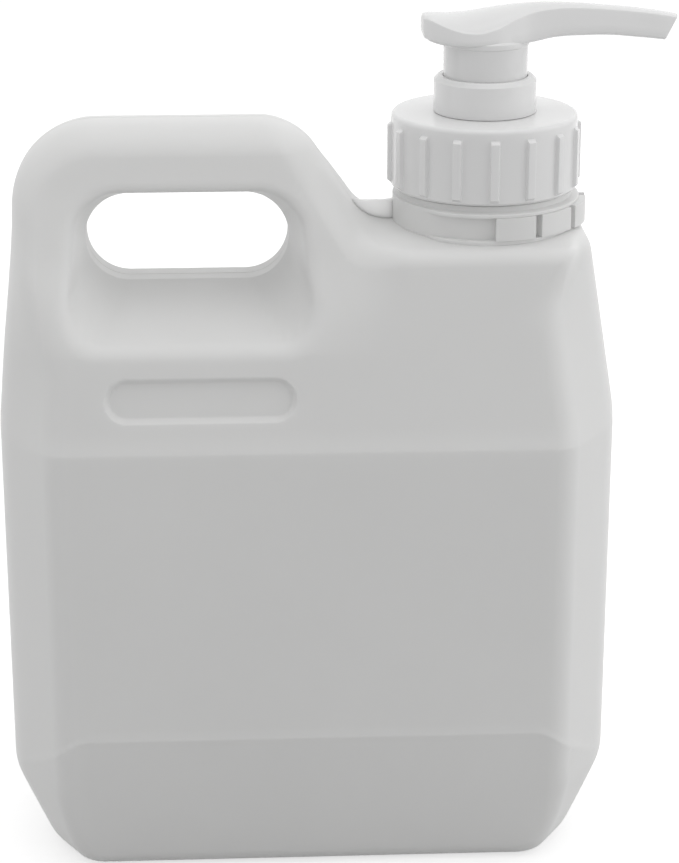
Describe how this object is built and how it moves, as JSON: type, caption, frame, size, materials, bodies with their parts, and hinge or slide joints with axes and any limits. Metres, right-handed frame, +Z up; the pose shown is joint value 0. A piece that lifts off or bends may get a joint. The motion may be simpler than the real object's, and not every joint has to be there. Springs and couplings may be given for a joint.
{
  "type": "pump bottle",
  "caption": "White handled jerrycan-style bottle with a finger hole and a ribbed screw collar that carries a lotion pump with a side spout.",
  "frame": {"origin": "centre of the base, on the surface that the bottle stands on; the pump axis is 46 mm towards +X", "axes": "+Z up along the pump axis, +X along the width towards the spout at rest, +Y from the front face to the back face, with the mould's parting plane at Y = 0"},
  "size_m": [0.1739, 0.084, 0.2239],
  "materials": {
    "bottle_plastic": "satin white blow-moulded polyethylene",
    "closure_plastic": "smooth white injection-moulded polypropylene",
    "inner_plastic": "natural translucent polypropylene",
    "seal": "soft matt foamed polyethylene",
    "spring_steel": "bright drawn stainless steel"
  },
  "bodies": {
    "bottle_body": {"bottle": "bottle_plastic"},
    "pump_body": {"pump_housing": "inner_plastic", "neck_gasket": "seal", "lock_ring": "closure_plastic", "dip_tube": "inner_plastic", "return_spring": "spring_steel"},
    "collar_body": {"screw_collar": "closure_plastic"},
    "valve_body": {"inlet_ball": "spring_steel"},
    "plunger_body": {"piston": "inner_plastic", "piston_seat": "inner_plastic"},
    "head_body": {"actuator_head": "closure_plastic", "stem": "closure_plastic"}
  },
  "joints": [
    {"name": "pump_rise", "type": "slide", "parent": "bottle_body", "child": "pump_body", "axis": [0, 0, 1], "range_m": [0, 0.0063]},
    {"name": "collar_turn", "type": "hinge", "parent": "pump_body", "child": "collar_body", "pos_m": [0.046, 0, 0.187], "axis": [0, 0, 1], "range_deg": [0, 540]},
    {"name": "ball_lift", "type": "slide", "parent": "pump_body", "child": "valve_body", "axis": [0, 0, 1], "range_m": [0, 0.0018]},
    {"name": "pump_stroke", "type": "slide", "parent": "pump_body", "child": "plunger_body", "axis": [0, 0, 1], "range_m": [-0.007, 0], "stiffness_N_per_m": 900, "springref_m": 0.004, "deforming": ["return_spring"]},
    {"name": "head_turn", "type": "hinge", "parent": "plunger_body", "child": "head_body", "pos_m": [0.046, 0, 0.21], "axis": [0, 0, 1], "continuous": true}
  ],
  "couplings": [
    {"joint": "collar_turn", "follows": "pump_rise", "rad_per_m": 1495.9}
  ]
}
